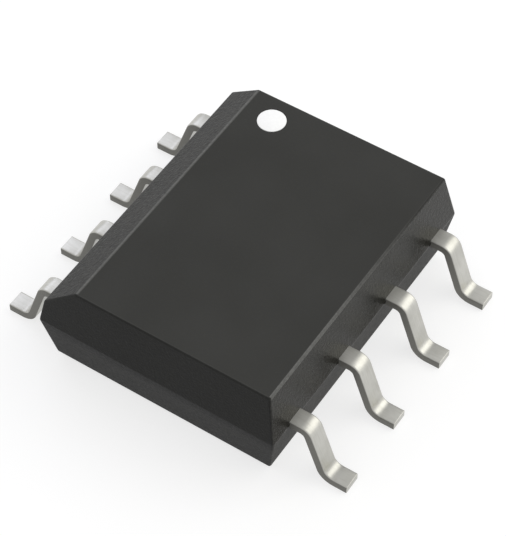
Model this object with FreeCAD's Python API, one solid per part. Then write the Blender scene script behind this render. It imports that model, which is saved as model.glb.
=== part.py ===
import FreeCAD, Part

import math
import os

from FreeCAD import Vector

# Small-outline chip with eight gull-wing leads, in millimetres and degrees.
# X runs across the chip, from the row of pins 1 to 4 to the row of pins 5 to 8.
# Y runs along the chip, towards the end with pin 1 and pin 8. Z is up.
# The origin is on the seating plane, under the middle of the body.

# Lead rows
LEADS_PER_SIDE = 4
LEAD_PITCH = 1.27
LEAD_WIDTH = 0.30
LEAD_THICKNESS = 0.13
LEAD_EDGE_BREAK = 0.02

# Gull-wing bends, with radii on the inside of each bend
SHOULDER_LENGTH = 0.16
SHOULDER_BEND_RADIUS = 0.08
LEAD_SLOPE = 71.0
FOOT_BEND_RADIUS = 0.15
FOOT_LENGTH = 0.23

# Moulded body
BODY_WIDTH = 3.98
BODY_END_MARGIN = 0.57
STANDOFF = 0.10
BODY_BELOW_PARTING = 0.82
BODY_ABOVE_PARTING = 0.83
DRAFT_ANGLE = 10.0
BODY_EDGE_BREAK = 0.03
CHAMFER_HEIGHT = 0.43
CHAMFER_SLOPE = 39.0

# Ejector pin marks on the underside
EJECTOR_DIAMETER = 0.80
EJECTOR_DEPTH = 0.03
EJECTOR_SPACING = 2.40

# White dot at pin 1, set into the top
MARK_DIAMETER = 0.45
MARK_DEPTH = 0.02
MARK_FROM_SIDE = 1.11
MARK_FROM_END = 0.575

# Lead fingers inside the body
FINGER_LENGTH = 0.89
NECK_LENGTH = 0.18
ANCHOR_WIDTH = 0.52
LOCK_HOLE_DIAMETER = 0.22
FINGER_GAP = 0.20
END_FINGER_WIDTH = 0.34
END_FINGER_TO_TIE_BAR = 0.35

# Die pad, lowered by the bends in its two tie bars
PAD_DOWNSET = 0.20
DOWNSET_SLOPE = 45.0
DOWNSET_BEND_RADIUS = 0.05
DOWNSET_SHELF = 0.12
TIE_BAR_WIDTH = 0.30
TIE_BAR_COVER = 0.10

# Die and the layer that bonds it to the pad
PAD_SIDE_MARGIN = 0.20
PAD_END_MARGIN = 0.495
DIE_THICKNESS = 0.28
ATTACH_THICKNESS = 0.03
ATTACH_MARGIN = 0.05

# Bond wires
WIRE_DIAMETER = 0.05
BALL_DIAMETER = 0.12
BALL_HEIGHT = 0.05
BOND_PAD_INSET = 0.13
LOOP_HEIGHT = 0.18
STITCH_LENGTH = 0.12
STITCH_WIDTH = 0.08
STITCH_THICKNESS = 0.02
STITCH_SETBACK = 0.14

# Levels and places that follow from the sizes above
PARTING_LEVEL = STANDOFF + BODY_BELOW_PARTING
BODY_TOP = PARTING_LEVEL + BODY_ABOVE_PARTING
FINGER_TOP = PARTING_LEVEL + LEAD_THICKNESS / 2
FINGER_BOTTOM = PARTING_LEVEL - LEAD_THICKNESS / 2
PAD_TOP = FINGER_TOP - PAD_DOWNSET
DIE_BOTTOM = PAD_TOP + ATTACH_THICKNESS
DIE_TOP = DIE_BOTTOM + DIE_THICKNESS

HALF_WIDTH = BODY_WIDTH / 2
END_LEAD_Y = (LEADS_PER_SIDE - 1) / 2 * LEAD_PITCH
HALF_LENGTH = END_LEAD_Y + BODY_END_MARGIN
FINGER_TIP_X = HALF_WIDTH - FINGER_LENGTH
END_FINGER_TIP_X = TIE_BAR_WIDTH / 2 + END_FINGER_TO_TIE_BAR
HALF_PAD_WIDTH = FINGER_TIP_X - FINGER_GAP
HALF_PAD_LENGTH = END_LEAD_Y - ANCHOR_WIDTH / 2 - FINGER_GAP
HALF_DIE_WIDTH = HALF_PAD_WIDTH - PAD_SIDE_MARGIN
HALF_DIE_LENGTH = HALF_PAD_LENGTH - PAD_END_MARGIN

X_AXIS = Vector(1, 0, 0)
Z_AXIS = Vector(0, 0, 1)
ORIGIN = Vector(0, 0, 0)
MITRED_CORNERS = 1
TINY = 1e-6


def closed_face(points):
    """Face inside a closed run of straight lines."""
    return Part.Face(Part.makePolygon(points + [points[0]]))


def block(x_range, y_range, z_range):
    """Box between two values on each axis."""
    size = [high - low for low, high in (x_range, y_range, z_range)]
    corner = Vector(x_range[0], y_range[0], z_range[0])
    return Part.makeBox(size[0], size[1], size[2], corner)


def point_on(centre, radius, angle):
    """Point in the XZ plane, at an angle in degrees from the X axis."""
    turn = math.radians(angle)
    return centre + Vector(radius * math.cos(turn), 0, radius * math.sin(turn))


def arc(centre, radius, start, end):
    """Arc in the XZ plane between two angles in degrees."""
    middle = point_on(centre, radius, (start + end) / 2)
    return Part.Arc(point_on(centre, radius, start), middle, point_on(centre, radius, end)).toShape()


def line(start, end):
    return Part.LineSegment(start, end).toShape()


def half_turn(shape):
    """The same piece on the other side of the body."""
    turned = shape.copy()
    turned.rotate(ORIGIN, Z_AXIS, 180)
    return turned


# Body


def drafted_half(height, turn):
    """One half of the body, turned so that it stands up or hangs down from the parting line."""
    inset = height * math.tan(math.radians(DRAFT_ANGLE))
    low_corner = (-HALF_WIDTH, 0, -HALF_LENGTH)
    high_corner = (HALF_WIDTH, height, HALF_LENGTH)
    low_inset = (-HALF_LENGTH + inset, -HALF_WIDTH + inset)
    high_inset = (HALF_LENGTH - inset, HALF_WIDTH - inset)
    half = Part.makeWedge(*low_corner, *low_inset, *high_corner, *high_inset)
    half.rotate(ORIGIN, X_AXIS, turn)
    half.translate(Vector(0, 0, PARTING_LEVEL))
    return half


def pin_one_chamfer():
    """Wedge that bevels the top edge above pins 1 to 4."""
    side_x = -HALF_WIDTH + (BODY_ABOVE_PARTING - CHAMFER_HEIGHT) * math.tan(math.radians(DRAFT_ANGLE))
    run = CHAMFER_HEIGHT / math.tan(math.radians(CHAMFER_SLOPE))
    overrun = HALF_WIDTH
    rise = overrun * math.tan(math.radians(CHAMFER_SLOPE))
    start = Vector(side_x - overrun, -HALF_LENGTH - overrun, BODY_TOP - CHAMFER_HEIGHT - rise)
    end = Vector(side_x + run + overrun, start.y, BODY_TOP + rise)
    corner = Vector(start.x, start.y, end.z)
    return closed_face([start, end, corner]).extrude(Vector(0, 2 * (HALF_LENGTH + overrun), 0))


def is_parting_line(edge):
    return all(abs(vertex.Z - PARTING_LEVEL) < TINY for vertex in edge.Vertexes)


def body_blank():
    """The outside of the moulded body, with a narrow bevel on every edge but the parting line."""
    lower = drafted_half(BODY_BELOW_PARTING, -90)
    upper = drafted_half(BODY_ABOVE_PARTING, 90).cut(pin_one_chamfer())
    blank = lower.fuse(upper).removeSplitter()
    broken = [edge for edge in blank.Edges if not is_parting_line(edge)]
    return blank.makeChamfer(BODY_EDGE_BREAK, broken)


def ejector_marks():
    """Shallow round recesses that the ejector pins leave in the underside."""
    marks = []
    for y in (-EJECTOR_SPACING / 2, EJECTOR_SPACING / 2):
        centre = Vector(0, y, STANDOFF)
        marks.append(Part.makeCylinder(EJECTOR_DIAMETER / 2, EJECTOR_DEPTH, centre, Z_AXIS))
    return marks


def pin_one_mark():
    """Disc of white ink that fills its recess flush with the top."""
    centre = Vector(-HALF_WIDTH + MARK_FROM_SIDE, HALF_LENGTH - MARK_FROM_END, BODY_TOP - MARK_DEPTH)
    return Part.makeCylinder(MARK_DIAMETER / 2, MARK_DEPTH, centre, Z_AXIS)


def package_body(inner_pieces):
    """Moulding compound, which fills the space around everything that it holds."""
    return body_blank().cut(ejector_marks() + inner_pieces)


# Leads, all worked out for the row of pins 5 to 8 and turned round for the other row


def lead_y(index):
    return index * LEAD_PITCH - END_LEAD_Y


def is_end_lead(index):
    return index in (0, LEADS_PER_SIDE - 1)


def step_run(drop, slope, bend_radii):
    """Horizontal length of the two bends and the slope between them."""
    turn = math.radians(slope)
    radii = sum(bend_radii) + LEAD_THICKNESS
    slope_length = (drop - radii * (1 - math.cos(turn))) / math.sin(turn)
    return radii * math.sin(turn) + slope_length * math.cos(turn)


def strip_surface(start, end, centres, radii, slope):
    """One face of a formed strip in profile: straight, bend, slope, bend, straight."""
    first, second = centres
    first_radius, second_radius = radii
    normal = 90 - slope
    slope_start = point_on(first, first_radius, normal)
    slope_end = point_on(second, second_radius, normal + 180)
    return [
        line(start, point_on(first, first_radius, 90)),
        arc(first, first_radius, 90, normal),
        line(slope_start, slope_end),
        arc(second, second_radius, normal + 180, 270),
        line(point_on(second, second_radius, 270), end),
    ]


def formed_strip(level_length, drop, slope, bend_radii, foot_length, width):
    """Strip of the lead sheet that steps down along X, and the edges along its top.

    It starts at the origin, with its top at Z 0 and its middle on the XZ plane.
    """
    first_inside, second_inside = bend_radii
    second_x = level_length + step_run(drop, slope, bend_radii)
    side_y = -width / 2
    centres = (
        Vector(level_length, side_y, -LEAD_THICKNESS - first_inside),
        Vector(second_x, side_y, -drop + second_inside),
    )
    start = Vector(0, side_y, 0)
    end = Vector(second_x + foot_length, side_y, -drop)
    through = Vector(0, 0, -LEAD_THICKNESS)
    top_radii = (first_inside + LEAD_THICKNESS, second_inside)
    under_radii = (first_inside, second_inside + LEAD_THICKNESS)
    top = strip_surface(start, end, centres, top_radii, slope)
    under = strip_surface(start + through, end + through, centres, under_radii, slope)
    ends = [line(start, start + through), line(end, end + through)]

    across = Vector(0, width, 0)
    profile = Part.Wire(Part.__sortEdges__(top + under + ends))
    return Part.Face(profile).extrude(across), top + [edge.translated(across) for edge in top]


def edges_on(solid, curves):
    """The solid's own edges that lie on these curves."""
    middles = [curve.CenterOfMass for curve in curves]
    return [edge for edge in solid.Edges if any(edge.CenterOfMass.isEqual(middle, TINY) for middle in middles)]


def gull_wing(index):
    """Outer lead, from the neck inside the body to the tip of the foot."""
    strip, top_edges = formed_strip(
        NECK_LENGTH + SHOULDER_LENGTH,
        FINGER_TOP - LEAD_THICKNESS,
        LEAD_SLOPE,
        (SHOULDER_BEND_RADIUS, FOOT_BEND_RADIUS),
        FOOT_LENGTH,
        LEAD_WIDTH,
    )
    wing = strip.makeChamfer(LEAD_EDGE_BREAK, edges_on(strip, top_edges))
    return wing.translated(Vector(HALF_WIDTH - NECK_LENGTH, lead_y(index), FINGER_TOP))


def outward_of(index):
    """Direction along Y from the middle of the body towards a lead."""
    return 1 if lead_y(index) > 0 else -1


def finger_outline(index):
    """Plan of the finger inside the body, seen from above.

    The end leads run on past the end of the pad, and the others stop at its side.
    """
    y = lead_y(index)
    outward = Vector(0, outward_of(index), 0)
    neck = Vector(HALF_WIDTH - NECK_LENGTH, y, FINGER_BOTTOM)
    anchor = neck - Vector((ANCHOR_WIDTH - LEAD_WIDTH) / 2, 0, 0)
    tip = Vector(FINGER_TIP_X, y, FINGER_BOTTOM)
    half_neck = outward * (LEAD_WIDTH / 2)
    half_anchor = outward * (ANCHOR_WIDTH / 2)
    if is_end_lead(index):
        end_tip = Vector(END_FINGER_TIP_X, y, FINGER_BOTTOM) - half_anchor
        width = outward * END_FINGER_WIDTH
        ease = Vector(ANCHOR_WIDTH - END_FINGER_WIDTH, 0, 0)
        tip_points = [end_tip, end_tip + width, tip - half_anchor + width, tip + half_anchor + ease]
    else:
        tip_points = [tip - half_anchor, tip + half_anchor]
    return [neck - half_neck, anchor - half_anchor, *tip_points, anchor + half_anchor, neck + half_neck]


def finger(index):
    """Flat finger inside the body, with the hole that the compound locks through."""
    plate = closed_face(finger_outline(index)).extrude(Vector(0, 0, LEAD_THICKNESS))
    hole_x = HALF_WIDTH - NECK_LENGTH - (ANCHOR_WIDTH - LEAD_WIDTH) / 2 - LOCK_HOLE_DIAMETER / 2
    hole_centre = Vector(hole_x, lead_y(index), FINGER_BOTTOM)
    return plate.cut(Part.makeCylinder(LOCK_HOLE_DIAMETER / 2, LEAD_THICKNESS, hole_centre, Z_AXIS))


def lead(index):
    """One lead, stamped and formed from one strip."""
    return gull_wing(index).fuse(finger(index)).removeSplitter()


# Die pad, die and bond wires


def tie_bar():
    """Strip from just under the end face down to the end of the lowered pad."""
    bend_radii = (DOWNSET_BEND_RADIUS, DOWNSET_BEND_RADIUS)
    start_y = HALF_LENGTH - TIE_BAR_COVER
    step = step_run(PAD_DOWNSET, DOWNSET_SLOPE, bend_radii)
    level_length = start_y - HALF_PAD_LENGTH - DOWNSET_SHELF - step
    bar, _ = formed_strip(
        level_length,
        PAD_DOWNSET,
        DOWNSET_SLOPE,
        bend_radii,
        DOWNSET_SHELF,
        TIE_BAR_WIDTH,
    )
    bar.rotate(ORIGIN, Z_AXIS, -90)
    return bar.translated(Vector(0, start_y, FINGER_TOP))


def die_pad():
    """Pad that carries the die, with a tie bar at each end."""
    pad = block(
        (-HALF_PAD_WIDTH, HALF_PAD_WIDTH),
        (-HALF_PAD_LENGTH, HALF_PAD_LENGTH),
        (PAD_TOP - LEAD_THICKNESS, PAD_TOP),
    )
    bar = tie_bar()
    return pad.fuse([bar, half_turn(bar)]).removeSplitter()


def die_attach():
    """Layer of cured paste that shows a little all round the die."""
    half_x = HALF_DIE_WIDTH + ATTACH_MARGIN
    half_y = HALF_DIE_LENGTH + ATTACH_MARGIN
    return block((-half_x, half_x), (-half_y, half_y), (PAD_TOP, DIE_BOTTOM))


def die():
    return block(
        (-HALF_DIE_WIDTH, HALF_DIE_WIDTH),
        (-HALF_DIE_LENGTH, HALF_DIE_LENGTH),
        (DIE_BOTTOM, DIE_TOP),
    )


def bond_pad_place(index):
    """Where a wire starts on the die, in a row along its edge."""
    row_half = HALF_DIE_LENGTH - BOND_PAD_INSET
    step = 2 * row_half / (LEADS_PER_SIDE - 1)
    return Vector(HALF_DIE_WIDTH - BOND_PAD_INSET, index * step - row_half, DIE_TOP)


def stitch_place(index):
    """Where a wire ends on its finger."""
    y = lead_y(index)
    if is_end_lead(index):
        middle_y = y - outward_of(index) * (ANCHOR_WIDTH - END_FINGER_WIDTH) / 2
        return Vector(END_FINGER_TIP_X + STITCH_SETBACK, middle_y, FINGER_TOP)
    return Vector(FINGER_TIP_X + STITCH_SETBACK, y, FINGER_TOP)


def wire_loop(length, drop):
    """Wire in the XZ plane, from a ball at the origin to a stitch at this length and drop.

    The squashed ball narrows into the wire, which rises, kinks once and runs down to its
    flattened end.
    """
    ball_top = Vector(0, 0, BALL_HEIGHT)
    path = Part.makePolygon([
        ball_top,
        Vector(0, 0, LOOP_HEIGHT),
        Vector(length, 0, -drop + STITCH_THICKNESS / 2),
    ])
    section = Part.Wire(Part.Circle(ball_top, Z_AXIS, WIRE_DIAMETER / 2).toShape())
    strand = path.makePipeShell([section], True, False, MITRED_CORNERS)

    ball = Part.makeCone(BALL_DIAMETER / 2, WIRE_DIAMETER / 2, BALL_HEIGHT)
    stitch = block(
        (length - STITCH_LENGTH / 2, length + STITCH_LENGTH / 2),
        (-STITCH_WIDTH / 2, STITCH_WIDTH / 2),
        (-drop, -drop + STITCH_THICKNESS),
    )
    below_finger = block(
        (length - STITCH_LENGTH, length + STITCH_LENGTH),
        (-STITCH_WIDTH, STITCH_WIDTH),
        (-drop - WIRE_DIAMETER, -drop),
    )
    return strand.fuse([ball, stitch]).cut(below_finger)


def bond_wire(index):
    """Wire from the die to one finger, with its ball on the die and its stitch on the finger."""
    start = bond_pad_place(index)
    reach = stitch_place(index) - start
    length = math.hypot(reach.x, reach.y)
    wire = wire_loop(length, -reach.z)
    wire.rotate(ORIGIN, Z_AXIS, math.degrees(math.atan2(reach.y, reach.x)))
    wire.translate(start)
    return wire


def both_rows(name, make_piece):
    """Pieces numbered as the pins are, counter-clockwise from pin 1 seen from above."""
    pieces = {}
    for index in range(LEADS_PER_SIDE):
        piece = make_piece(index)
        pieces[f"{name}_{index + 1}"] = half_turn(piece)
        pieces[f"{name}_{index + 1 + LEADS_PER_SIDE}"] = piece
    return pieces


def main():
    pieces = {}
    pieces.update(both_rows("lead", lead))
    pieces.update(both_rows("bond_wire", bond_wire))
    pieces["die_pad"] = die_pad()
    pieces["die_attach"] = die_attach()
    pieces["die"] = die()
    pieces["pin_one_mark"] = pin_one_mark()
    pieces["package_body"] = package_body(list(pieces.values()))

    os.makedirs("parts", exist_ok=True)
    for node, shape in pieces.items():
        shape.exportStep(f"parts/{node}.step")
        print(node, len(shape.Solids), shape.isValid(), round(shape.Volume, 5))


main()
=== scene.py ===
import math
from collections import Counter

import bmesh
import bpy
from mathutils import Matrix, Vector
from mathutils.geometry import delaunay_2d_cdt


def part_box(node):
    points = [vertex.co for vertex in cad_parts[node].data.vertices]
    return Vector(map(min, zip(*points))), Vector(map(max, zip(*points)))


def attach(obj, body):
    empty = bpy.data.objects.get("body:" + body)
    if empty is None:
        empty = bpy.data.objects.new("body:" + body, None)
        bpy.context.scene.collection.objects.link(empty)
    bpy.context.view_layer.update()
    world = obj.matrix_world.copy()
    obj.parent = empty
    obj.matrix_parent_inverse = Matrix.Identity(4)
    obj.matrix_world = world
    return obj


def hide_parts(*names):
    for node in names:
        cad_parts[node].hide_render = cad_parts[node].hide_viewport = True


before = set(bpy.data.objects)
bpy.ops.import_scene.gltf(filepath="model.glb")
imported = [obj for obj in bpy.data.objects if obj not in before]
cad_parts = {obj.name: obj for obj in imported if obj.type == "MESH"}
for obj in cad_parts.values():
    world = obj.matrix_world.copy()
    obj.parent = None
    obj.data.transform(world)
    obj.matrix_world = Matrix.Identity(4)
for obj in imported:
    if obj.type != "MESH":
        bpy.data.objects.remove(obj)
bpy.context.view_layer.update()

# Sizes and places are in millimetres, in the frame of the part. Finished pieces are turned into metres.
MILLIMETRE = 0.001
MICROMETRE = 0.000001

# Lead sheet and its bends
LEAD_WIDTH = 0.30
LEAD_THICKNESS = 0.13
SHOULDER_LENGTH = 0.16
SHOULDER_BEND_RADIUS = 0.08
LEAD_SLOPE = math.radians(71)
FOOT_BEND_RADIUS = 0.15
FOOT_LENGTH = 0.23
ROLLED_EDGE = 0.024
SHEARED_EDGE = 0.009
LEADS_PER_SIDE = 4

# Lead fingers inside the body
FINGER_LENGTH = 0.89
NECK_LENGTH = 0.18
ANCHOR_WIDTH = 0.52
LOCK_HOLE_RADIUS = 0.11
END_FINGER_WIDTH = 0.34
END_FINGER_TIP_X = 0.50

# Moulded body, with its recesses for the dot and under the ejector pins
DRAFT = math.radians(10)
CHAMFER_HEIGHT = 0.43
CHAMFER_SLOPE = math.radians(39)
PARTING_LEVEL = 0.92
BODY_EDGE = 0.034
PARTING_EDGE = 0.020
EJECTOR_RADIUS = 0.40
EJECTOR_DEPTH = 0.03
EJECTOR_SPACING = 2.40
EJECTOR_RIM = 0.006
MARK_DEPTH = 0.02
MARK_RIM = 0.004
MARK_GAP = 0.004

# The ink's rim, as steps inwards from the dot's side and down from its top
INK_RIM = [(0.0, 0.006), (0.002, 0.002), (0.007, 0.0)]

# Wear of the body's long edges and of its end edges, where 1 is rubbed bare. On the long edges it is also a
# painted highlight, which on the right fades towards the far end.
RIGHT_EDGE_WEAR_AND_HIGHLIGHT = 1.0
CHAMFER_CREST_WEAR_AND_HIGHLIGHT = 0.90
CHAMFER_FLANK_WEAR_AND_HIGHLIGHT = 0.45
END_EDGE_WEAR = 0.085
RIGHT_HIGHLIGHT_FADES_FROM_Y = -0.93
RIGHT_HIGHLIGHT_FADES_TO_Y = 1.60
RIGHT_HIGHLIGHT_LOST = 0.9

# Moulding compound: pairs of tones that a face drifts between, single tones, and roughness. The tones differ
# by the way a face points, as painted light and shade: the ends darkest, the long walls darker than the level
# faces.
# The ends are darkest in a strip just under the parting line, which is painted shade.
LEVEL_FACE_TONES = (0.033, 0.033, 0.030, 1), (0.038, 0.038, 0.035, 1)
SHADED_UPPER_END_TONES = (0.008, 0.008, 0.007, 1), (0.012, 0.012, 0.011, 1)
SHADED_LOWER_END_TONES = (0.001, 0.001, 0.001, 1), (0.018, 0.018, 0.017, 1)
LONG_WALL_TONES = (0.014, 0.014, 0.011, 1), (0.020, 0.019, 0.016, 1)
FLECK_TONE = (0.050, 0.049, 0.044, 1)
FILLER_TONE = (0.060, 0.060, 0.056, 1)
# Tone of rubbed edges: wear, and on the long edges a painted highlight
WORN_AND_HIGHLIT_TONE = (0.160, 0.160, 0.152, 1)
LEVEL_FACE_ROUGHNESS = 0.54
LOWER_HALF_ROUGHNESS = 0.56
END_ROUGHNESS = 0.44
LONG_WALL_ROUGHNESS = 0.24
# Depth of the painted shade strip under the parting line
SHADE_STRIP_DEPTH = 0.22

# Blocks of circuitry on the die
CIRCUIT_BLOCKS_PER_METRE = 7000.0

# The forming line is longer than the foot by this factor, so that the foot's tip still lies on it
LINE_PAST_FOOT = 1.5

# How finely round forms are divided
BEND_STEPS = 14
FORMING_LINE_STEPS = 32
ROLLED_EDGE_STEPS = 3
BODY_EDGE_STEPS = 4
PARTING_EDGE_STEPS = 2
LOCK_HOLE_SIDES = 32
RECESS_SIDES = 64

# Points and levels that are closer than these are the same, and faces that turn less are one
SAME_PLACE = 1e-6
SAME_LEVEL = 1e-5
FLAT_ANGLE = 0.001

# Stage: a floor with low walls far away, the room's light, and the camera
FLOOR_WIDTH = 400
WALL_HEIGHT = 40
FLOOR_GAP = 0.002
FLOOR_TONE = (0.34, 0.34, 0.34, 1)
FLOOR_GLOW_NEAR = 0.70
FLOOR_GLOW_FAR = 0.84
GLOW_RISES_FROM = 25
GLOW_RISES_TO = 120
ROOM_LIGHT = 0.76
CAMERA_AZIMUTH = math.radians(33.745)
CAMERA_ELEVATION = math.radians(51.636)
CAMERA_ROLL = math.radians(-0.5)
CAMERA_DISTANCE = 31.55
CAMERA_LENS = 145.98
CAMERA_SENSOR = 36
AIM_HEIGHT = 0.9
AIM_TO_RIGHT = 0.027
AIM_DOWNWARDS = 0.032

# Worked out from these and from the frame
SHOULDER_MIDDLE_RADIUS = SHOULDER_BEND_RADIUS + LEAD_THICKNESS / 2
FOOT_MIDDLE_RADIUS = FOOT_BEND_RADIUS + LEAD_THICKNESS / 2
LEVEL_LENGTH = NECK_LENGTH + SHOULDER_LENGTH
LEAD_DROP = PARTING_LEVEL - LEAD_THICKNESS / 2
BODY_LOW, BODY_HIGH = [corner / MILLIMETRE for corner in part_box("package_body")]
MARK_LOW, MARK_HIGH = [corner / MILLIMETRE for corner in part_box("pin_one_mark")]
MARK_CENTRE = tuple(((MARK_LOW + MARK_HIGH) / 2).xy)
MARK_RADIUS = (MARK_HIGH.x - MARK_LOW.x) / 2
HALF_WIDTH = BODY_HIGH.x
HALF_LENGTH = BODY_HIGH.y
WIRE_NODES = [f"bond_wire_{pin}" for pin in range(1, 2 * LEADS_PER_SIDE + 1)]
INNER_NODES = ["die_pad", "die_attach", "die", *WIRE_NODES]


# Nodes, for shapes and finishes alike


def give(tree, socket, value):
    """Sets a socket to a plain value, or links it to another socket."""
    if isinstance(value, bpy.types.NodeSocket):
        tree.links.new(value, socket)
    else:
        socket.default_value = value


def add_node(tree, kind, inputs=None, **settings):
    """New node with its settings, and with its inputs by their names or numbers."""
    made = tree.nodes.new(kind)
    for name, value in settings.items():
        setattr(made, name, value)
    for name, value in (inputs or {}).items():
        give(tree, made.inputs[name], value)
    return made


def calculate(tree, operation, first, second=0.0, third=0.0):
    """One step of arithmetic, with numbers or sockets."""
    return add_node(tree, "ShaderNodeMath", {0: first, 1: second, 2: third}, operation=operation).outputs[0]


def calculate_vector(tree, operation, inputs):
    return add_node(tree, "ShaderNodeVectorMath", inputs, operation=operation).outputs[0]


def split(tree, vector):
    """The three parts of a vector, by their letters."""
    return add_node(tree, "ShaderNodeSeparateXYZ", {"Vector": vector}).outputs


def join(tree, **parts):
    """A vector from its parts. Parts that aren't given are 0."""
    return add_node(tree, "ShaderNodeCombineXYZ", parts).outputs[0]


# Plates and recesses


def circle(centre, radius, sides):
    turns = [2 * math.pi * i / sides for i in range(sides)]
    return [(centre[0] + radius * math.cos(turn), centre[1] + radius * math.sin(turn)) for turn in turns]


def fill(outline, holes):
    """Triangles between a flat outline and the holes in it, as lists of points."""
    inside_only = 1
    area = sum(a[0] * b[1] - a[1] * b[0] for a, b in zip(outline, outline[1:] + outline[:1]))
    loops = [outline if area > 0 else outline[::-1], *holes]
    points = [Vector(point) for loop in loops for point in loop]
    faces = []
    for loop in loops:
        start = sum(len(face) for face in faces)
        faces.append(list(range(start, start + len(loop))))
    corners, _, triangles, _, _, owners = delaunay_2d_cdt(points, [], faces, inside_only, SAME_PLACE / 10)
    kept = [triangle for triangle, owner in zip(triangles, owners) if list(owner) == [0]]
    return [[tuple(corners[i]) for i in triangle] for triangle in kept]


def plate(plan, thickness):
    """Closed plate from the faces of its plan, which are lists of points."""
    shape = bmesh.new()
    corners = {}

    def corner(point, level):
        key = (round(point[0], 6), round(point[1], 6), level)
        if key not in corners:
            corners[key] = shape.verts.new((point[0], point[1], level * thickness / 2))
        return corners[key]

    used = Counter()
    ends = {}
    for face in plan:
        shape.faces.new([corner(point, 1) for point in face])
        shape.faces.new([corner(point, -1) for point in reversed(face)])
        for start, end in zip(face, face[1:] + face[:1]):
            key = frozenset((corner(start, 1), corner(end, 1)))
            used[key] += 1
            ends[key] = (start, end)
    for key, count in used.items():
        if count == 1:
            start, end = ends[key]
            shape.faces.new([corner(start, 1), corner(end, 1), corner(end, -1), corner(start, -1)])
    bmesh.ops.recalc_face_normals(shape, faces=shape.faces)
    return shape


def add_ring(shape, centre, radius, level):
    return [shape.verts.new((x, y, level)) for x, y in circle(centre, radius, RECESS_SIDES)]


def add_wall(shape, first, second):
    """Faces between two rings of corners."""
    for i, j in zip(range(len(first)), [*range(1, len(first)), 0]):
        shape.faces.new((first[i], first[j], second[j], second[i]))


def object_from(shape, name):
    mesh = bpy.data.meshes.new(name)
    shape.to_mesh(mesh)
    shape.free()
    made = bpy.data.objects.new(name, mesh)
    bpy.context.scene.collection.objects.link(made)
    return made


def plain_mesh(source, name):
    """Replaces an object by a plain mesh of what its modifiers make of it."""
    bpy.context.view_layer.update()
    evaluated = source.evaluated_get(bpy.context.evaluated_depsgraph_get())
    mesh = bpy.data.meshes.new_from_object(evaluated)
    mesh.name = name
    bpy.data.objects.remove(source)
    made = bpy.data.objects.new(name, mesh)
    bpy.context.scene.collection.objects.link(made)
    return made


def finish_piece(piece, finish, nodes, smooth_up_to):
    """Brings a piece into metres, shades it smooth up to an angle in degrees, and puts it on the part."""
    piece.data.transform(Matrix.Scale(MILLIMETRE, 4))
    piece.data.shade_smooth()
    piece.data.set_sharp_from_angle(angle=math.radians(smooth_up_to))
    piece.data.materials.clear()
    piece.data.materials.append(finish)
    weighted = piece.modifiers.new("Flat faces stay flat", "WEIGHTED_NORMAL")
    weighted.keep_sharp = True
    weighted.weight = 100
    weighted.thresh = 0.0
    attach(piece, "root")
    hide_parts(*nodes)


# Leads


def finger_plan(end_lead, outward):
    """Faces of the flat finger inside the body, with X 0 at its neck. The end leads run on past the pad."""
    neck = LEAD_WIDTH / 2
    anchor = ANCHOR_WIDTH / 2
    anchor_x = neck - anchor
    tip_x = NECK_LENGTH - FINGER_LENGTH
    if end_lead:
        end_tip_x = END_FINGER_TIP_X - HALF_WIDTH + NECK_LENGTH
        inside = END_FINGER_WIDTH - anchor
        ease_x = tip_x + ANCHOR_WIDTH - END_FINGER_WIDTH
        tip = [(end_tip_x, -anchor), (end_tip_x, inside), (tip_x, inside), (ease_x, anchor)]
    else:
        tip = [(tip_x, -anchor), (tip_x, anchor)]
    outline = [(0, -neck), (anchor_x, -anchor), *tip, (anchor_x, anchor), (0, neck)]
    outline = [(x, y * outward) for x, y in outline]
    lock_hole = circle((anchor_x - LOCK_HOLE_RADIUS, 0), LOCK_HOLE_RADIUS, LOCK_HOLE_SIDES)
    return fill(outline, [lock_hole])


def wing_stations():
    """Places along the flat strip where it has an edge across, closer where it bends."""
    bends_drop = (SHOULDER_MIDDLE_RADIUS + FOOT_MIDDLE_RADIUS) * (1 - math.cos(LEAD_SLOPE))
    slope_length = (LEAD_DROP - bends_drop) / math.sin(LEAD_SLOPE)
    steps = range(BEND_STEPS + 1)
    stations = [0, NECK_LENGTH]
    stations += [LEVEL_LENGTH + SHOULDER_MIDDLE_RADIUS * LEAD_SLOPE * i / BEND_STEPS for i in steps]
    slope_end = stations[-1] + slope_length
    stations += [slope_end + FOOT_MIDDLE_RADIUS * LEAD_SLOPE * i / BEND_STEPS for i in steps]
    stations.append(stations[-1] + FOOT_LENGTH)
    return stations


def set_edge_rounding(shape, tip_x):
    """Says how far the outer lead's edges are rounded: more along its top, little below and at its tip."""
    weight = shape.edges.layers.float.new("bevel_weight_edge")
    side_y = LEAD_WIDTH / 2 - SAME_PLACE
    for edge in shape.edges:
        first, second = [vert.co for vert in edge.verts]
        outside = first.x > -SAME_PLACE and second.x > -SAME_PLACE
        upright = abs(first.z - second.z) >= SAME_PLACE
        along = abs(first.y) > side_y and abs(first.y - second.y) < SAME_PLACE and not upright
        at_tip = first.x > tip_x - SAME_PLACE and second.x > tip_x - SAME_PLACE
        if outside and (along or at_tip):
            on_top = first.z > 0 and second.z > 0
            edge[weight] = 1.0 if on_top and not at_tip else SHEARED_EDGE / ROLLED_EDGE


def lead_blank(end_lead, outward):
    """Flat lead as it is stamped, from the tip of its finger to the tip of its foot."""
    half = LEAD_WIDTH / 2
    stations = wing_stations()
    plan = finger_plan(end_lead, outward)
    for near, far in zip(stations, stations[1:]):
        plan.append([(near, -half), (far, -half), (far, half), (near, half)])
    shape = plate(plan, LEAD_THICKNESS)
    set_edge_rounding(shape, stations[-1])
    return object_from(shape, "lead_blank")


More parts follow.
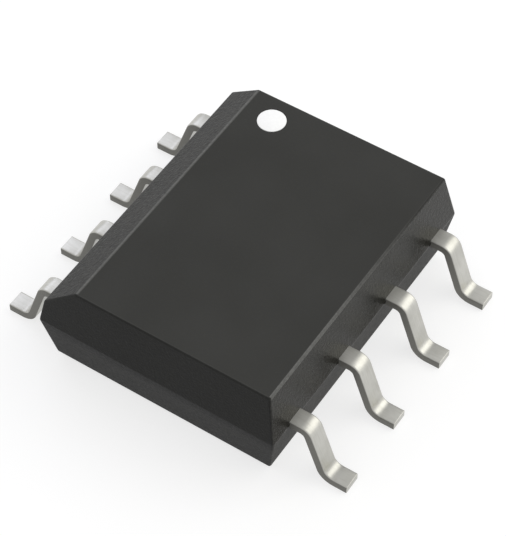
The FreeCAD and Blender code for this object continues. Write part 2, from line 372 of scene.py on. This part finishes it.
def forming_line(tree, given):
    """Side view of the middle of the sheet: level, down the slope and out to the foot, with round bends."""
    half_slope = calculate(tree, "TANGENT", calculate(tree, "MULTIPLY", given["Slope"], 0.5))
    shoulder_x = calculate(tree, "MULTIPLY_ADD", given["Shoulder radius"], half_slope, given["Level length"])
    run = calculate(tree, "DIVIDE", given["Drop"], calculate(tree, "TANGENT", given["Slope"]))
    heel_x = calculate(tree, "ADD", shoulder_x, run)
    longer_foot = calculate(tree, "MULTIPLY", given["Foot length"], LINE_PAST_FOOT)
    past_heel = calculate(tree, "MULTIPLY_ADD", given["Foot radius"], half_slope, longer_foot)
    end_x = calculate(tree, "ADD", heel_x, past_heel)
    foot_level = calculate(tree, "MULTIPLY", given["Drop"], -1.0)
    corners = {
        "Point 1": (0, 0, 0),
        "Point 2": join(tree, X=shoulder_x),
        "Point 3": join(tree, X=heel_x, Z=foot_level),
        "Point 4": join(tree, X=end_x, Z=foot_level),
    }
    line = add_node(tree, "GeometryNodeCurvePrimitiveQuadrilateral", corners, mode="POINTS").outputs[0]
    line = add_node(tree, "GeometryNodeSetSplineCyclic", {"Geometry": line, "Cyclic": False}).outputs[0]

    corner = tree.nodes.new("GeometryNodeInputIndex").outputs[0]
    at_shoulder = add_node(tree, "FunctionNodeCompare", {2: corner, 3: 1}, data_type="INT", operation="EQUAL")
    radii = {
        "Switch": at_shoulder.outputs[0],
        "False": given["Foot radius"],
        "True": given["Shoulder radius"],
    }
    radius = add_node(tree, "GeometryNodeSwitch", radii, input_type="FLOAT").outputs[0]
    bends = {"Curve": line, "Radius": radius, "Count": FORMING_LINE_STEPS, "Limit Radius": False}
    return add_node(tree, "GeometryNodeFilletCurve", bends, mode="POLY").outputs[0]


def formed_place(tree, place, line):
    """Where a point of the flat sheet comes to lie. It keeps its height over the middle of the sheet."""
    on_line = add_node(tree, "GeometryNodeSampleCurve", {"Curves": line, "Length": place["X"]}, mode="LENGTH")
    along = split(tree, on_line.outputs["Tangent"])
    tilt = calculate(tree, "MULTIPLY", along["Z"], -1.0)
    out_of_sheet = join(tree, X=tilt, Z=along["X"])
    height = calculate_vector(tree, "SCALE", {0: out_of_sheet, "Scale": place["Z"]})
    lifted = calculate_vector(tree, "ADD", {0: on_line.outputs["Position"], 1: height})
    return calculate_vector(tree, "ADD", {0: lifted, 1: join(tree, Y=place["Y"])})


def forming_tree():
    """Bends a flat lead along its forming line and puts it in its row."""
    tree = bpy.data.node_groups.new("Gull-wing forming", "GeometryNodeTree")
    tree.interface.new_socket("Lead", in_out="INPUT", socket_type="NodeSocketGeometry")
    for name in ("Level length", "Drop", "Slope", "Shoulder radius", "Foot radius", "Foot length"):
        tree.interface.new_socket(name, in_out="INPUT", socket_type="NodeSocketFloat")
    tree.interface.new_socket("Place", in_out="INPUT", socket_type="NodeSocketVector")
    tree.interface.new_socket("Turn", in_out="INPUT", socket_type="NodeSocketVector")
    tree.interface.new_socket("Finish", in_out="INPUT", socket_type="NodeSocketMaterial")
    tree.interface.new_socket("Lead", in_out="OUTPUT", socket_type="NodeSocketGeometry")
    given = tree.nodes.new("NodeGroupInput").outputs

    place = split(tree, tree.nodes.new("GeometryNodeInputPosition").outputs[0])
    formed = add_node(tree, "GeometryNodeSetPosition", {
        "Geometry": given["Lead"],
        "Selection": calculate(tree, "GREATER_THAN", place["X"], 0.0),
        "Position": formed_place(tree, place, forming_line(tree, given)),
    })
    placed = add_node(tree, "GeometryNodeTransform", {
        "Geometry": formed.outputs[0],
        "Translation": given["Place"],
        "Rotation": given["Turn"],
    })
    real = add_node(tree, "GeometryNodeRealizeInstances", {"Geometry": placed.outputs[0]})
    plated = {"Geometry": real.outputs[0], "Material": given["Finish"]}
    finished = add_node(tree, "GeometryNodeSetMaterial", plated)
    add_node(tree, "NodeGroupOutput", {"Lead": finished.outputs[0]})
    return tree


def set_inputs(modifier, values):
    """Sets a modifier's inputs by the identifiers of their sockets, which are found by name."""
    for item in modifier.node_group.interface.items_tree:
        if item.item_type == "SOCKET" and item.in_out == "INPUT" and item.name in values:
            modifier[item.identifier] = values[item.name]


def make_lead(pin, tree, finish):
    """One lead, stamped, rounded and bent. Pins 1 to 4 are the other row turned round."""
    other_row = pin <= LEADS_PER_SIDE
    side = -1 if other_row else 1
    index = (pin - 1) % LEADS_PER_SIDE
    low, high = [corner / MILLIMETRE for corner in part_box(f"lead_{index + 1 + LEADS_PER_SIDE}")]
    y = (low.y + high.y) / 2
    end_lead = index in (0, LEADS_PER_SIDE - 1)
    outward = 1 if index >= LEADS_PER_SIDE / 2 else -1

    piece = lead_blank(end_lead, outward)
    rounding = piece.modifiers.new("Rolled and sheared edges", "BEVEL")
    rounding.width = ROLLED_EDGE
    rounding.segments = ROLLED_EDGE_STEPS
    rounding.limit_method = "WEIGHT"
    rounding.use_clamp_overlap = False
    forming = piece.modifiers.new("Forming", "NODES")
    forming.node_group = tree
    set_inputs(forming, {
        "Level length": LEVEL_LENGTH,
        "Drop": LEAD_DROP,
        "Slope": LEAD_SLOPE,
        "Shoulder radius": SHOULDER_MIDDLE_RADIUS,
        "Foot radius": FOOT_MIDDLE_RADIUS,
        "Foot length": FOOT_LENGTH,
        "Place": (side * (HALF_WIDTH - NECK_LENGTH), side * y, PARTING_LEVEL),
        "Turn": (0, 0, math.pi if other_row else 0),
        "Finish": finish,
    })
    return plain_mesh(piece, f"gull_wing_lead_{pin}")


# Body


def body_profile():
    """Corners of the body's cross-section from its lower left round: X, how far the ends draw in, and Z."""
    top = BODY_HIGH.z
    low = BODY_LOW.z
    spread = math.tan(DRAFT)
    up = (top - PARTING_LEVEL) * spread
    down = (PARTING_LEVEL - low) * spread
    chamfer_z = top - CHAMFER_HEIGHT
    at_chamfer = (chamfer_z - PARTING_LEVEL) * spread
    side_x = -HALF_WIDTH + at_chamfer
    return [
        (-HALF_WIDTH + down, down, low),
        (-HALF_WIDTH, 0, PARTING_LEVEL),
        (side_x, at_chamfer, chamfer_z),
        (side_x + CHAMFER_HEIGHT / math.tan(CHAMFER_SLOPE), up, top),
        (HALF_WIDTH - up, up, top),
        (HALF_WIDTH, 0, PARTING_LEVEL),
        (HALF_WIDTH - down, down, low),
    ]


def wear_and_highlight_facing(normal):
    """Wear of a strip of a rounded edge, told from where it faces, which on the long edges is also a painted
    highlight. A crest is the middle half of its turn.
    """
    if abs(normal.y) > 0.1:
        return END_EDGE_WEAR if normal.z > 0.3 else 0.0
    on_right = normal.x > 0
    turn = math.pi / 2 - DRAFT if on_right else CHAMFER_SLOPE
    share = math.acos(min(normal.z, 1.0)) / turn
    if share >= 1:
        return 0.0
    if on_right:
        return RIGHT_EDGE_WEAR_AND_HIGHLIGHT
    return CHAMFER_CREST_WEAR_AND_HIGHLIGHT if 0.25 < share < 0.75 else CHAMFER_FLANK_WEAR_AND_HIGHLIGHT


def body_shell():
    """Outside of the body, drafted up and down from the parting line, with rounded edges that carry wear, and
    on the long edges a painted highlight.
    """
    shape = bmesh.new()
    near, far = [
        [shape.verts.new((x, side * (HALF_LENGTH - drawn_in), z)) for x, drawn_in, z in body_profile()]
        for side in (-1, 1)
    ]
    add_wall(shape, near, far)
    # Each end has a lower and an upper half, which meet at the parting line
    for end in (near, far):
        shape.faces.new((end[0], end[1], end[5], end[6]))
        shape.faces.new(end[1:6])
    bmesh.ops.recalc_face_normals(shape, faces=shape.faces)

    def on_parting_line(edge):
        return all(abs(vert.co.z - PARTING_LEVEL) < SAME_PLACE for vert in edge.verts)

    def round_off(edges, width, steps):
        return bmesh.ops.bevel(shape, geom=edges, offset=width, segments=steps, profile=0.5, affect="EDGES")

    worn_and_highlit = shape.faces.layers.float.new("rubbed_and_highlit_edge")
    mould_edges = [edge for edge in shape.edges if not on_parting_line(edge)]
    for face in round_off(mould_edges, BODY_EDGE, BODY_EDGE_STEPS)["faces"]:
        face.normal_update()
        face[worn_and_highlit] = wear_and_highlight_facing(face.normal)
    round_off([edge for edge in shape.edges if on_parting_line(edge)], PARTING_EDGE, PARTING_EDGE_STEPS)
    return shape


def sink_recesses(shape, level, centres, radius, steps):
    """Round recesses in the flat face at a level. Each step is a radius and a level, from the rim inwards."""
    flat = [face for face in shape.faces if all(abs(vert.co.z - level) < SAME_LEVEL for vert in face.verts)]
    face = max(flat, key=lambda found: found.calc_area())
    outline = [tuple(vert.co.xy) for vert in face.verts]
    corners = list(face.verts)
    shape.faces.remove(face)
    rims = [add_ring(shape, centre, radius, level) for centre in centres]
    for rim in rims:
        corners += rim
    at = {(round(vert.co.x, 5), round(vert.co.y, 5)): vert for vert in corners}
    for triangle in fill(outline, [circle(centre, radius, RECESS_SIDES) for centre in centres]):
        shape.faces.new([at[(round(x, 5), round(y, 5))] for x, y in triangle])
    for centre, ring in zip(centres, rims):
        for step_radius, step_level in steps:
            inner = add_ring(shape, centre, step_radius, step_level)
            add_wall(shape, ring, inner)
            ring = inner
        shape.faces.new(ring)


def body_blank():
    """Solid body with its recesses, before it is moulded around what it holds."""
    shape = body_shell()
    top = BODY_HIGH.z
    low = BODY_LOW.z
    sink_recesses(shape, top, [MARK_CENTRE], MARK_RADIUS + MARK_RIM, [
        (MARK_RADIUS, top - MARK_RIM),
        (MARK_RADIUS, top - MARK_DEPTH),
    ])
    ejectors = [(0, -EJECTOR_SPACING / 2), (0, EJECTOR_SPACING / 2)]
    sink_recesses(shape, low, ejectors, EJECTOR_RADIUS + EJECTOR_RIM, [
        (EJECTOR_RADIUS, low + EJECTOR_RIM),
        (EJECTOR_RADIUS, low + EJECTOR_DEPTH - EJECTOR_RIM),
        (EJECTOR_RADIUS - EJECTOR_RIM, low + EJECTOR_DEPTH),
    ])
    bmesh.ops.recalc_face_normals(shape, faces=shape.faces)
    return object_from(shape, "body_blank")


def space_for(node):
    """Closed copy of an inner node in millimetres, which stands for its space in the compound."""
    joined = bmesh.new()
    joined.from_mesh(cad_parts[node].data)
    bmesh.ops.scale(joined, vec=(1 / MILLIMETRE, 1 / MILLIMETRE, 1 / MILLIMETRE), verts=joined.verts)
    bmesh.ops.remove_doubles(joined, verts=joined.verts, dist=SAME_LEVEL)
    space = object_from(joined, f"space_for_{node}")
    for name in [layer.name for layer in space.data.attributes if not layer.is_required]:
        space.data.attributes.remove(space.data.attributes[name])
    return space


def make_body(leads):
    """Body with the exact space of each lead and each inner piece left out of it."""
    body = body_blank()
    spaces = [space_for(node) for node in INNER_NODES]
    held = bpy.data.collections.new("What the compound is moulded around")
    bpy.context.scene.collection.children.link(held)
    for piece in [*leads, *spaces]:
        held.objects.link(piece)
    cut = body.modifiers.new("Room for what it holds", "BOOLEAN")
    cut.operation = "DIFFERENCE"
    cut.operand_type = "COLLECTION"
    cut.collection = held
    cut.solver = "EXACT"
    body = plain_mesh(body, "moulded_body")
    for space in spaces:
        bpy.data.objects.remove(space)
    bpy.data.collections.remove(held)

    flat = bmesh.new()
    flat.from_mesh(body.data)
    bmesh.ops.dissolve_limit(flat, angle_limit=FLAT_ANGLE, verts=[], edges=flat.edges)
    flat.to_mesh(body.data)
    flat.free()
    return body


def make_mark():
    """Disc of ink that fills its recess, with a softly rounded rim."""
    shape = bmesh.new()
    radius = MARK_RADIUS - MARK_GAP
    rings = [add_ring(shape, MARK_CENTRE, radius, MARK_LOW.z)]
    for inwards, down in INK_RIM:
        rings.append(add_ring(shape, MARK_CENTRE, radius - inwards, MARK_HIGH.z - down))
    for lower, upper in zip(rings, rings[1:]):
        add_wall(shape, lower, upper)
    shape.faces.new(rings[0])
    shape.faces.new(rings[-1])
    bmesh.ops.recalc_face_normals(shape, faces=shape.faces)
    return object_from(shape, "ink_dot")


# Finishes


def new_finish(name):
    """New finish, with its tree, its shader and the place of each point, which its patterns follow."""
    finish = bpy.data.materials.new(name)
    finish.use_nodes = True
    tree = finish.node_tree
    shader = tree.nodes["Principled BSDF"]
    place = tree.nodes.new("ShaderNodeTexCoord").outputs["Object"]
    return finish, tree, shader, place


def facing(tree):
    """Which way a face points, as the X, Y and Z of its normal."""
    return split(tree, tree.nodes.new("ShaderNodeTexCoord").outputs["Normal"])


def without_sign(tree, value):
    return calculate(tree, "ABSOLUTE", value)


def grain(tree, place, feature, detail=3.0, stretch=(1, 1, 1)):
    """Noise whose features are about this many millimetres across."""
    mapped = add_node(tree, "ShaderNodeMapping", {"Vector": place, "Scale": stretch})
    made = add_node(tree, "ShaderNodeTexNoise", {
        "Vector": mapped.outputs[0],
        "Scale": 1 / (feature * MILLIMETRE),
        "Detail": detail,
        "Roughness": 0.55,
    })
    return made.outputs["Fac"]


def between(tree, value, low, high, to_low=0.0, to_high=1.0):
    """Goes from one number to another while a value goes from low to high, and stays there past them."""
    return add_node(tree, "ShaderNodeMapRange", {
        "Value": value,
        "From Min": low,
        "From Max": high,
        "To Min": to_low,
        "To Max": to_high,
    }).outputs["Result"]


def blend_numbers(tree, factor, first, second):
    return add_node(tree, "ShaderNodeMix", {0: factor, 2: first, 3: second}).outputs[0]


def blend_colours(tree, factor, first, second):
    return add_node(tree, "ShaderNodeMix", {0: factor, 6: first, 7: second}, data_type="RGBA").outputs[2]


def coat(tree, shader, tone, rough, metallic=0.0):
    """Gives a shader its colour, its roughness and how metallic it is."""
    give(tree, shader.inputs["Base Color"], tone)
    give(tree, shader.inputs["Roughness"], rough)
    shader.inputs["Metallic"].default_value = metallic


def bump(tree, shader, heights):
    """Bumps from pairs of a height between 0 and 1 and its depth in micrometres."""
    normal = None
    for height, depth in heights:
        values = {"Height": height, "Strength": 1.0, "Distance": depth * MICROMETRE}
        made = add_node(tree, "ShaderNodeBump", values)
        if normal is not None:
            tree.links.new(normal, made.inputs["Normal"])
        normal = made.outputs["Normal"]
    tree.links.new(normal, shader.inputs["Normal"])


def compound_zones(tree, place):
    """How far a point belongs to each zone of the body, from 0 to 1."""
    faced = facing(tree)
    across = without_sign(tree, faced["X"])
    strip_end = (PARTING_LEVEL - SHADE_STRIP_DEPTH) * MILLIMETRE
    return {
        "level face": between(tree, without_sign(tree, faced["Z"]), 0.90, 0.98),
        "long wall": between(tree, across, 0.80, 0.95),
        "wall or chamfer": between(tree, across, 0.45, 0.60),
        "lower half": between(tree, faced["Z"], -0.02, -0.15),
        "under the shade strip": between(tree, split(tree, place)["Z"], PARTING_LEVEL * MILLIMETRE, strip_end),
    }


def edge_wear_and_highlight(tree, place, fine):
    """Wear from the body's rounded edges, which on the long edges is also a painted highlight. On the right
    it fades towards the far end.
    """
    edge = add_node(tree, "ShaderNodeAttribute", attribute_type="GEOMETRY", attribute_name="rubbed_and_highlit_edge")
    worn_and_highlit = calculate(tree, "MULTIPLY", edge.outputs["Fac"], between(tree, fine, 0.25, 0.75, 0.55, 1.0))
    along = split(tree, place)
    start = RIGHT_HIGHLIGHT_FADES_FROM_Y * MILLIMETRE
    end = RIGHT_HIGHLIGHT_FADES_TO_Y * MILLIMETRE
    fading = between(tree, along["Y"], start, end, 0.0, RIGHT_HIGHLIGHT_LOST)
    on_right = calculate(tree, "GREATER_THAN", along["X"], 0.0)
    lost = calculate(tree, "MULTIPLY", on_right, fading)
    return calculate(tree, "MULTIPLY", worn_and_highlit, calculate(tree, "SUBTRACT", 1.0, lost))


def compound_tone(tree, place, zone, flecks, worn_and_highlit):
    """Colour of the compound on its ends, long walls and level faces, with its flecks and its wear. Its tones
    by face direction are painted light and shade, and the wear on the long edges is also a painted highlight.
    """
    cloud = between(tree, grain(tree, place, 1.6, detail=2.0), 0.35, 0.65)
    # Painted shade: the ends darker than the other faces, darkest just under the parting line
    upper_ends = blend_colours(tree, cloud, *SHADED_UPPER_END_TONES)
    lower_ends = blend_colours(tree, zone["under the shade strip"], *SHADED_LOWER_END_TONES)
    tone = blend_colours(tree, zone["lower half"], upper_ends, lower_ends)
    # Long walls and level faces get their own tones, as painted light and shade
    tone = blend_colours(tree, zone["long wall"], tone, blend_colours(tree, cloud, *LONG_WALL_TONES))
    tone = blend_colours(tree, flecks, tone, FLECK_TONE)
    tone = blend_colours(tree, zone["level face"], tone, blend_colours(tree, cloud, *LEVEL_FACE_TONES))
    filler = between(tree, grain(tree, place, 0.016, detail=1.0), 0.62, 0.80, 0.0, 0.30)
    tone = blend_colours(tree, filler, tone, FILLER_TONE)
    # Wear on the edges, on the long edges also a painted highlight
    return blend_colours(tree, worn_and_highlit, tone, WORN_AND_HIGHLIT_TONE)


def compound_roughness(tree, zone, fine):
    rough = between(tree, zone["long wall"], 0.0, 1.0, END_ROUGHNESS, LONG_WALL_ROUGHNESS)
    rough = blend_numbers(tree, zone["lower half"], rough, LOWER_HALF_ROUGHNESS)
    rough = blend_numbers(tree, zone["level face"], rough, LEVEL_FACE_ROUGHNESS)
    return calculate(tree, "ADD", rough, between(tree, fine, 0.3, 0.7, -0.05, 0.05))


def mould_compound():
    """Black filled epoxy: matt level faces, a mottled chamfer, smoother walls, ends darkened by painted
    shade, and edges with wear and a painted highlight.
    """
    finish, tree, shader, place = new_finish("mould_compound")
    zone = compound_zones(tree, place)
    fine = grain(tree, place, 0.045)
    mottled = grain(tree, place, 0.045, stretch=(0.75, 1, 0.75))
    rippled = grain(tree, place, 0.030, detail=2.0)
    swell = grain(tree, place, 0.35, detail=1.0)

    less_on_walls = between(tree, zone["long wall"], 0.0, 1.0, 1.0, 0.35)
    mottling = calculate(tree, "MULTIPLY", zone["wall or chamfer"], less_on_walls)
    flecks = calculate(tree, "MULTIPLY", mottling, between(tree, mottled, 0.38, 0.64, 0.06, 0.56))
    tone = compound_tone(tree, place, zone, flecks, edge_wear_and_highlight(tree, place, fine))
    coat(tree, shader, tone, compound_roughness(tree, zone, fine))
    shader.inputs["Specular IOR Level"].default_value = 0.15

    ripples = calculate(tree, "MULTIPLY", rippled, calculate(tree, "SUBTRACT", 1.0, zone["level face"]))
    spark_texture = calculate(tree, "MULTIPLY", mottling, mottled)
    bump(tree, shader, [(fine, 1.2), (ripples, 4.0), (spark_texture, 9.0), (swell, 1.2)])
    return finish


def tin_plate():
    """Matt tin plate with fine grains and drawing lines along the lead; the sides cut in stamping are rougher
    and carry painted shade.
    """
    finish, tree, shader, place = new_finish("tin_plate")
    cloud = grain(tree, place, 0.30)
    grains = grain(tree, place, 0.012, detail=2.0)
    drawn = grain(tree, place, 0.02, detail=2.0, stretch=(0.08, 1, 0.08))
    sheared_and_shaded = between(tree, without_sign(tree, facing(tree)["Y"]), 0.55, 0.9)
    cloudy = between(tree, cloud, 0.3, 0.7)
    drawing_lines = between(tree, drawn, 0.45, 0.75, 0.0, 0.35)
    tone = blend_colours(tree, cloudy, (0.49, 0.485, 0.45, 1), (0.57, 0.565, 0.53, 1))
    tone = blend_colours(tree, drawing_lines, tone, (0.40, 0.39, 0.35, 1))
    # Painted shade on the sides cut in stamping, which face along the row
    tone = blend_colours(tree, sheared_and_shaded, tone, (0.205, 0.202, 0.186, 1))
    plated = between(tree, grains, 0.3, 0.7, 0.34, 0.44)
    coat(tree, shader, tone, calculate(tree, "MULTIPLY_ADD", sheared_and_shaded, 0.22, plated), metallic=1.0)
    bump(tree, shader, [(grains, 0.35), (drawn, 0.4), (cloud, 1.0)])
    return finish


def white_ink():
    """Flat white ink with a faintly uneven film."""
    finish, tree, shader, place = new_finish("white_ink")
    film = grain(tree, place, 0.05)
    uneven = between(tree, film, 0.35, 0.65)
    tone = blend_colours(tree, uneven, (0.95, 0.95, 0.945, 1), (0.98, 0.98, 0.975, 1))
    coat(tree, shader, tone, between(tree, film, 0.3, 0.7, 0.42, 0.58))
    bump(tree, shader, [(film, 0.8)])
    return finish


def rolled_copper():
    """Copper alloy sheet with rolling lines along the body."""
    finish, tree, shader, place = new_finish("copper_alloy")
    cloudy = between(tree, grain(tree, place, 0.25), 0.3, 0.7)
    rolled = grain(tree, place, 0.02, detail=2.0, stretch=(1, 0.06, 1))
    tone = blend_colours(tree, cloudy, (0.66, 0.36, 0.23, 1), (0.74, 0.44, 0.30, 1))
    coat(tree, shader, tone, between(tree, rolled, 0.3, 0.7, 0.26, 0.42), metallic=1.0)
    bump(tree, shader, [(rolled, 0.5)])
    return finish


def silver_epoxy():
    """Cured epoxy full of silver flakes."""
    finish, tree, shader, place = new_finish("die_attach")
    flakes = grain(tree, place, 0.015, detail=2.0)
    silvered = between(tree, flakes, 0.35, 0.65)
    tone = blend_colours(tree, silvered, (0.42, 0.42, 0.40, 1), (0.70, 0.70, 0.68, 1))
    coat(tree, shader, tone, between(tree, flakes, 0.3, 0.7, 0.40, 0.60), metallic=0.6)
    bump(tree, shader, [(flakes, 1.0)])
    return finish


def circuit_silicon():
    """Polished silicon with blocks of circuitry."""
    finish, tree, shader, place = new_finish("silicon")
    pattern = {"Vector": place, "Scale": CIRCUIT_BLOCKS_PER_METRE, "Randomness": 0.9}
    blocks = add_node(tree, "ShaderNodeTexVoronoi", pattern, distance="CHEBYCHEV")
    shade = add_node(tree, "ShaderNodeSeparateColor", {"Color": blocks.outputs["Color"]}).outputs[0]
    tone = blend_colours(tree, shade, (0.10, 0.12, 0.17, 1), (0.30, 0.30, 0.36, 1))
    coat(tree, shader, tone, between(tree, shade, 0.0, 1.0, 0.12, 0.24), metallic=0.5)
    bump(tree, shader, [(shade, 0.4)])
    return finish


def drawn_gold():
    """Bright gold wire."""
    finish, tree, shader, place = new_finish("gold_wire")
    drawn = grain(tree, place, 0.01, detail=2.0)
    uneven = between(tree, drawn, 0.3, 0.7)
    tone = blend_colours(tree, uneven, (0.90, 0.62, 0.22, 1), (1.0, 0.74, 0.32, 1))
    coat(tree, shader, tone, between(tree, drawn, 0.3, 0.7, 0.14, 0.26), metallic=1.0)
    bump(tree, shader, [(drawn, 0.2)])
    return finish


def give_finish(node, finish):
    """Puts a finish on a CAD node that stays as it is."""
    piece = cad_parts[node]
    if not piece.material_slots:
        piece.data.materials.append(finish)
    for slot in piece.material_slots:
        slot.material = finish


# Stage: floor, room light, lamps and camera


def seen_directly(tree):
    """One where the floor is seen by the camera, in a gloss or through something clear."""
    ray = tree.nodes.new("ShaderNodeLightPath").outputs
    mirrored = calculate(tree, "MAXIMUM", ray["Is Glossy Ray"], ray["Is Transmission Ray"])
    return calculate(tree, "MAXIMUM", ray["Is Camera Ray"], mirrored)


def white_table():
    """Pale floor that keeps its shadow, and glows more far away so that its end isn't seen."""
    surface = bpy.data.materials.new("white_table")
    surface.use_nodes = True
    tree = surface.node_tree
    tree.nodes.clear()
    lit = add_node(tree, "ShaderNodeBsdfDiffuse", {"Color": FLOOR_TONE})
    place = tree.nodes.new("ShaderNodeTexCoord").outputs["Object"]
    away = add_node(tree, "ShaderNodeVectorMath", {"Vector": place}, operation="LENGTH").outputs["Value"]
    start = GLOW_RISES_FROM * MILLIMETRE
    end = GLOW_RISES_TO * MILLIMETRE
    shine = between(tree, away, start, end, FLOOR_GLOW_NEAR, FLOOR_GLOW_FAR)
    strength = calculate(tree, "MULTIPLY", seen_directly(tree), shine)
    glow = add_node(tree, "ShaderNodeEmission", {"Color": (1, 1, 1, 1), "Strength": strength})
    both = add_node(tree, "ShaderNodeAddShader", {0: lit.outputs[0], 1: glow.outputs[0]})
    add_node(tree, "ShaderNodeOutputMaterial", {"Surface": both.outputs[0]})
    return surface


def make_floor():
    """Wide floor with low walls far away, just under the feet."""
    shape = bmesh.new()
    bmesh.ops.create_cube(shape, size=FLOOR_WIDTH)
    bmesh.ops.scale(shape, vec=(1, 1, WALL_HEIGHT / FLOOR_WIDTH), verts=shape.verts)
    bmesh.ops.translate(shape, vec=(0, 0, WALL_HEIGHT / 2 - FLOOR_GAP), verts=shape.verts)
    ceiling = [face for face in shape.faces if face.normal.z > 0.5]
    bmesh.ops.delete(shape, geom=ceiling, context="FACES")
    bmesh.ops.reverse_faces(shape, faces=shape.faces)
    floor = object_from(shape, "floor")
    floor.data.transform(Matrix.Scale(MILLIMETRE, 4))
    floor.data.materials.append(white_table())


def light_the_room():
    world = bpy.data.worlds.new("studio")
    world.use_nodes = True
    tree = world.node_tree
    tree.nodes.clear()
    room = add_node(tree, "ShaderNodeBackground", {"Color": (1, 1, 1, 1), "Strength": ROOM_LIGHT})
    add_node(tree, "ShaderNodeOutputWorld", {"Surface": room.outputs[0]})
    bpy.context.scene.world = world


def add_lamp(name, direction, distance, size, radiance, colour):
    """Square soft lamp in millimetres, which looks at the chip and shines with this radiance."""
    lamp = bpy.data.lights.new(name, "AREA")
    lamp.color = colour
    lamp.shape = "SQUARE"
    lamp.size = size * MILLIMETRE
    lamp.energy = radiance * math.pi * lamp.size ** 2
    made = bpy.data.objects.new(name, lamp)
    towards = Vector(direction).normalized()
    made.location = towards * distance * MILLIMETRE
    made.rotation_euler = towards.to_track_quat("Z", "Y").to_euler()
    bpy.context.scene.collection.objects.link(made)


def make_camera():
    """Camera at the place, aim and roll that match the photo."""
    flat = math.cos(CAMERA_ELEVATION)
    back = Vector((
        math.sin(CAMERA_AZIMUTH) * flat,
        -math.cos(CAMERA_AZIMUTH) * flat,
        math.sin(CAMERA_ELEVATION),
    ))
    right = Vector((0, 0, 1)).cross(back).normalized()
    up = back.cross(right)
    aim = Vector((0, 0, AIM_HEIGHT)) + right * AIM_TO_RIGHT - up * AIM_DOWNWARDS
    right = Matrix.Rotation(CAMERA_ROLL, 3, back) @ right
    data = bpy.data.cameras.new("camera")
    data.sensor_width = CAMERA_SENSOR
    data.lens = CAMERA_LENS
    data.clip_start = 0.001
    data.clip_end = 2.0
    camera = bpy.data.objects.new("camera", data)
    camera.location = (aim + back * CAMERA_DISTANCE) * MILLIMETRE
    camera.rotation_euler = Matrix((right, back.cross(right), back)).transposed().to_euler()
    bpy.context.scene.collection.objects.link(camera)
    bpy.context.scene.camera = camera


def make_chip():
    tin = tin_plate()
    forming = forming_tree()
    leads = {pin: make_lead(pin, forming, tin) for pin in range(1, 2 * LEADS_PER_SIDE + 1)}
    body = make_body(list(leads.values()))
    finish_piece(body, mould_compound(), ["package_body"], smooth_up_to=32)
    finish_piece(make_mark(), white_ink(), ["pin_one_mark"], smooth_up_to=50)
    for pin, lead in leads.items():
        finish_piece(lead, tin, [f"lead_{pin}"], smooth_up_to=40)
    give_finish("die_pad", rolled_copper())
    give_finish("die_attach", silver_epoxy())
    give_finish("die", circuit_silicon())
    gold = drawn_gold()
    for wire in WIRE_NODES:
        give_finish(wire, gold)


def make_studio():
    make_floor()
    light_the_room()
    add_lamp(
        "window_behind_right",
        direction=(0.61, 0.53, 0.59),
        distance=60,
        size=52,
        radiance=1.6,
        colour=(1.0, 0.99, 0.93),
    )
    add_lamp(
        "card_left",
        direction=(-0.66, 0.40, 0.66),
        distance=60,
        size=40,
        radiance=1.12,
        colour=(0.83, 0.855, 1.0),
    )
    make_camera()
    bpy.context.scene.view_settings.view_transform = "Standard"


make_chip()
make_studio()
